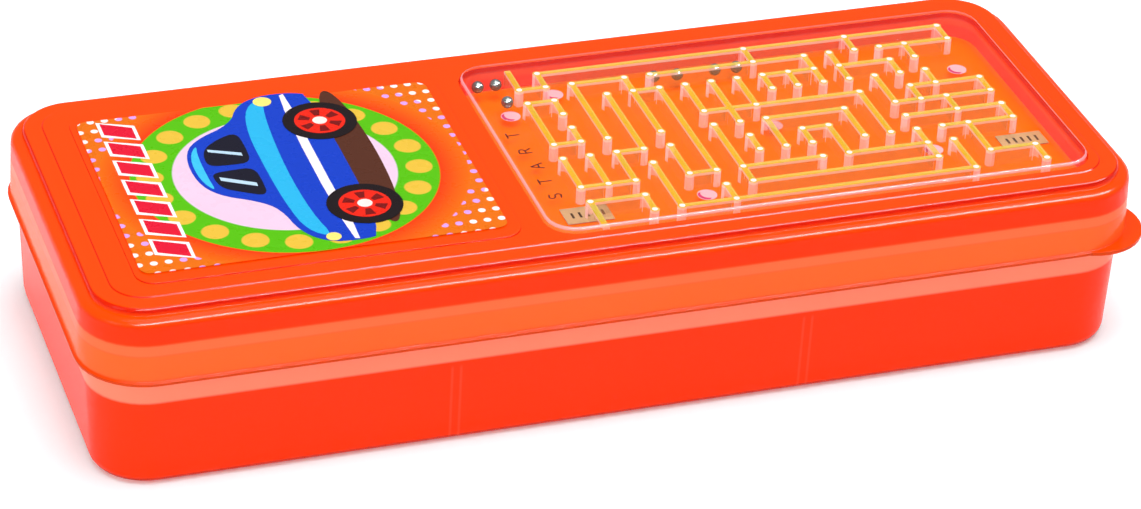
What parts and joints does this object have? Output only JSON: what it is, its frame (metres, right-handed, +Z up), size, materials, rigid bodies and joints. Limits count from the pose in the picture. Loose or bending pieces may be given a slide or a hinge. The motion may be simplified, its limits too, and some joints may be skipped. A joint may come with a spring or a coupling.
{
  "type": "pencil case",
  "caption": "Flat plastic pencil box with a push-fit lid, a lift-out compartment tray and a ball maze under a clear window in the lid.",
  "frame": {"origin": "middle of the underside of the base", "axes": "+X along the length towards the maze end, +Y across to the back, +Z up"},
  "size_m": [0.2222, 0.0895, 0.0412],
  "materials": {
    "base_plastic": "glossy translucent orange polypropylene",
    "tray_plastic": "glossy translucent orange polypropylene",
    "lid_plastic": "glossy translucent orange polypropylene",
    "label_paper": "glossy printed sticker",
    "clear_moulding": "clear polystyrene",
    "clear_window": "clear polystyrene",
    "ball_steel": "polished steel",
    "small_label_paper": "printed paper"
  },
  "bodies": {
    "base": {"base_tray": "base_plastic"},
    "tray": {"inner_tray": "tray_plastic"},
    "lid": {"lid": "lid_plastic", "lid_label": "label_paper", "maze_moulding": "clear_moulding", "maze_window": "clear_window", "start_label": "small_label_paper", "finish_label": "small_label_paper"},
    "ball_1": {"maze_ball_1": "ball_steel"},
    "ball_2": {"maze_ball_2": "ball_steel"},
    "ball_3": {"maze_ball_3": "ball_steel"},
    "ball_4": {"maze_ball_4": "ball_steel"},
    "ball_5": {"maze_ball_5": "ball_steel"},
    "ball_6": {"maze_ball_6": "ball_steel"},
    "ball_7": {"maze_ball_7": "ball_steel"}
  },
  "joints": [
    {"name": "tray_lift", "type": "slide", "parent": "base", "child": "tray", "axis": [0, 0, 1], "range_m": [0, 0.035]},
    {"name": "lid_lift", "type": "slide", "parent": "tray", "child": "lid", "axis": [0, 0, 1], "range_m": [0, 0.05]},
    {"name": "ball_1_roll", "type": "slide", "parent": "lid", "child": "ball_1", "axis": [0, 1, 0], "range_m": [-0.058, 0]},
    {"name": "ball_2_roll", "type": "slide", "parent": "lid", "child": "ball_2", "axis": [0, 1, 0], "range_m": [-0.002, 0]},
    {"name": "ball_3_roll", "type": "slide", "parent": "lid", "child": "ball_3", "axis": [0, 1, 0], "range_m": [-0.052, 0.001]},
    {"name": "ball_4_roll", "type": "slide", "parent": "lid", "child": "ball_4", "axis": [1, 0, 0], "range_m": [-0.022, 0.001]},
    {"name": "ball_5_roll", "type": "slide", "parent": "lid", "child": "ball_5", "axis": [1, 0, 0], "range_m": [-0.001, 0.002]},
    {"name": "ball_6_roll", "type": "slide", "parent": "lid", "child": "ball_6", "axis": [1, 0, 0], "range_m": [-0.002, 0.0005]},
    {"name": "ball_7_roll", "type": "slide", "parent": "lid", "child": "ball_7", "axis": [1, 0, 0], "range_m": [-0.0008, 0.0003]}
  ]
}
